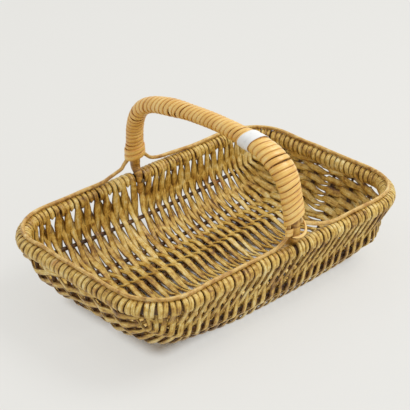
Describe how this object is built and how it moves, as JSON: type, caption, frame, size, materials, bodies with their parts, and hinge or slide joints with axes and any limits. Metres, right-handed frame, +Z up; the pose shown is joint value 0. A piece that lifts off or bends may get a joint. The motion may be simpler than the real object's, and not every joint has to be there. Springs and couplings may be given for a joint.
{
  "type": "trug",
  "caption": "Oblong woven willow trug with a bent hoop rim, long ribs, split strips woven across them and a fixed cane-wound bow handle.",
  "frame": {"origin": "on the table under the middle of the basket's outline, the handle's legs standing across the middle of its long sides", "axes": "+X along the basket's length, towards the end that is further from the camera in the picture, +Y towards the long side that is further from the camera, +Z up"},
  "size_m": [0.418, 0.2824, 0.2166],
  "materials": {
    "willow": "peeled willow, lightly glossy",
    "willow_pale": "peeled willow, lightly glossy",
    "rib": "dull, darkened willow",
    "hoop": "dull brown wood",
    "rod": "satin, peeled rod",
    "cane": "varnished flat cane",
    "nail": "dull steel",
    "label": "matt white paper, blank"
  },
  "bodies": {
    "root": {"rim_hoop": "hoop", "inner_rib_far": "rib", "inner_rib_near": "rib", "middle_rib_far": "rib", "middle_rib_near": "rib", "outer_rib_far": "rib", "outer_rib_near": "rib", "wall_rib_far": "rib", "wall_rib_near": "rib", "weaver_01": "willow", "weaver_02": "willow", "weaver_03": "willow", "weaver_04": "willow", "weaver_05": "willow", "weaver_06": "willow", "weaver_07": "willow", "weaver_08": "willow", "weaver_09": "willow", "weaver_10": "willow", "weaver_11": "willow", "weaver_12": "willow", "weaver_13": "willow", "weaver_14": "willow", "weaver_15": "willow", "weaver_16": "willow", "left_end_binding": "willow_pale", "right_end_binding": "willow_pale", "left_trim_rod": "rod", "right_trim_rod": "rod", "near_rod_tie": "cane", "handle_bow": "hoop", "far_nail": "nail", "near_nail": "nail", "far_collar_cane": "cane", "far_leg_cane": "cane", "grip_cane": "cane", "near_leg_cane": "cane", "blank_label": "label"}
  },
  "joints": []
}
